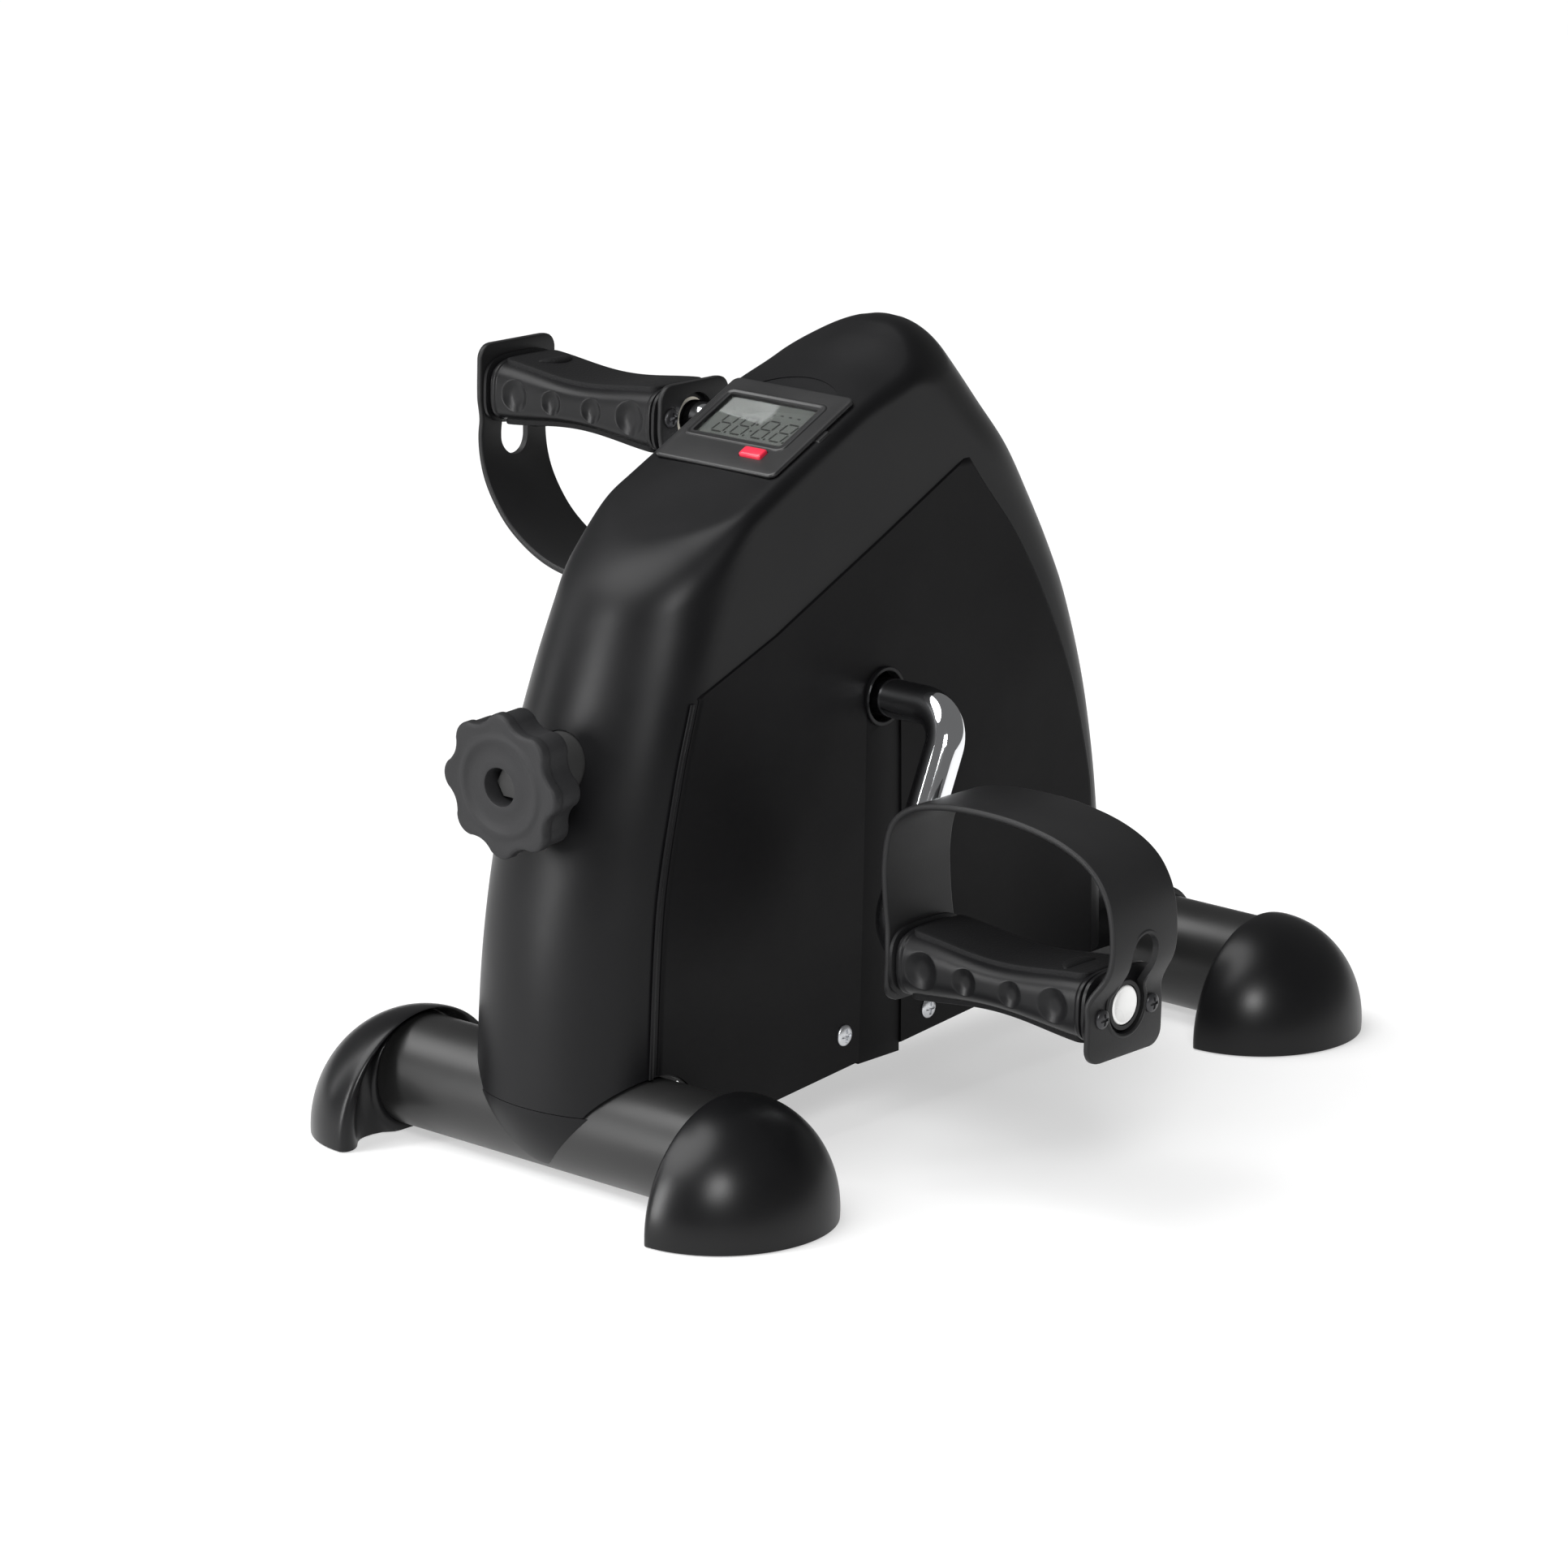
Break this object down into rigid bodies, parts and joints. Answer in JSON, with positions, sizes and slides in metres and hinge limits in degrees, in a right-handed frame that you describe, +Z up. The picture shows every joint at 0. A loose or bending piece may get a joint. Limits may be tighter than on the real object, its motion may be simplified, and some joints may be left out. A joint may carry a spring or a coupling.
{
  "type": "pedal exerciser",
  "caption": "Compact desktop or floor pedal exerciser: narrow moulded housing on two cross tubes, bent chrome crank, strapped pedals, front resistance knob and small top monitor.",
  "frame": {"origin": "on the floor, midway between the two foot tubes and between the two sides", "axes": "+X to the user's right, +Y from the resistance knob end towards the far end, +Z up"},
  "size_m": [0.3673, 0.4058, 0.2914],
  "materials": {
    "satin_black_plastic": "satin moulded ABS",
    "cap_plastic": "semi-gloss moulded plastic",
    "black_paint": "semi-gloss powder coat",
    "frame_steel": "black enamel",
    "chrome_rod": "polished plating",
    "zinc_steel": "zinc plated",
    "dark_steel": "black oxide",
    "bearing_plastic": "natural nylon",
    "knob_plastic": "fine texture",
    "pedal_plastic": "satin moulded",
    "tread_rubber": "fine texture",
    "strap_rubber": "soft moulded rubber",
    "disc_plastic": "smooth",
    "monitor_plastic": "satin to gloss",
    "clear_lens": "clear acrylic",
    "lcd": "pale grey display",
    "board": "solder mask",
    "battery": "printed can",
    "sensor_black": "potted",
    "cable_jacket": "soft jacket",
    "drum": "turned",
    "magnet": "nickel",
    "brake_web": "woven friction band",
    "button_red": "gloss"
  },
  "bodies": {
    "base": {"front_tube": "black_paint", "rear_tube": "black_paint", "base_beam": "black_paint", "shell_brackets": "frame_steel", "axle_bracket": "frame_steel", "knob_post": "frame_steel", "bearing_right": "bearing_plastic", "bearing_left": "bearing_plastic", "housing": "satin_black_plastic", "slot_cover_right": "satin_black_plastic", "slot_cover_left": "satin_black_plastic", "housing_screws": "zinc_steel", "front_saddle": "satin_black_plastic", "rear_saddle": "satin_black_plastic", "frame_bolts": "zinc_steel", "frame_nuts": "zinc_steel", "cap_front_right": "cap_plastic", "cap_front_left": "cap_plastic", "cap_rear_right": "cap_plastic", "cap_rear_left": "cap_plastic", "knob_bushing": "sensor_black", "monitor_case": "monitor_plastic", "monitor_face": "monitor_plastic", "monitor_lens": "clear_lens", "lcd_panel": "lcd", "monitor_board": "board", "monitor_battery": "battery", "reed_sensor": "sensor_black", "sensor_lead": "cable_jacket"},
    "crank": {"crank_right": "chrome_rod", "crank_left": "chrome_rod", "axle_sleeve": "zinc_steel", "crank_bolts": "zinc_steel", "crank_collars": "zinc_steel", "friction_drum": "drum", "drum_magnet": "magnet", "spindle_washers": "zinc_steel", "spindle_screws": "zinc_steel"},
    "pedal_right": {"pedal_body_right": "pedal_plastic", "pedal_treads_right": "tread_rubber", "pedal_bushes_right": "bearing_plastic", "foot_strap_right": "strap_rubber", "strap_screws_right": "dark_steel", "pedal_cap_right": "disc_plastic"},
    "pedal_left": {"pedal_body_left": "pedal_plastic", "pedal_treads_left": "tread_rubber", "pedal_bushes_left": "bearing_plastic", "foot_strap_left": "strap_rubber", "strap_screws_left": "dark_steel", "pedal_cap_left": "disc_plastic"},
    "knob": {"tension_knob": "knob_plastic", "tension_screw": "zinc_steel"},
    "brake": {"tension_yoke": "zinc_steel", "brake_strap": "brake_web", "strap_rivets": "zinc_steel"},
    "button": {"reset_button": "button_red"}
  },
  "joints": [
    {"name": "crank_spin", "type": "hinge", "parent": "base", "child": "crank", "pos_m": [0, -0.036, 0.161], "axis": [1, 0, 0], "continuous": true},
    {"name": "pedal_right_spin", "type": "hinge", "parent": "crank", "child": "pedal_right", "pos_m": [0.13225, -0.07104, 0.08137], "axis": [1, 0, 0], "continuous": true},
    {"name": "pedal_left_spin", "type": "hinge", "parent": "crank", "child": "pedal_left", "pos_m": [-0.13225, -0.00096, 0.24063], "axis": [1, 0, 0], "continuous": true},
    {"name": "knob_turn", "type": "hinge", "parent": "base", "child": "knob", "pos_m": [0, -0.20064, 0.15007], "axis": [0, -0.9978, -0.0663], "range_deg": [-540, 540]},
    {"name": "brake_slide", "type": "slide", "parent": "base", "child": "brake", "axis": [0, -0.9978, -0.0663], "range_m": [-0.0015, 0.0015]},
    {"name": "reset_press", "type": "slide", "parent": "base", "child": "button", "axis": [0, 0.4384, -0.8988], "range_m": [0, 0.0008], "stiffness_N_per_m": 400}
  ],
  "couplings": [
    {"joint": "brake_slide", "follows": "knob_turn", "m_per_rad": -0.000159}
  ]
}
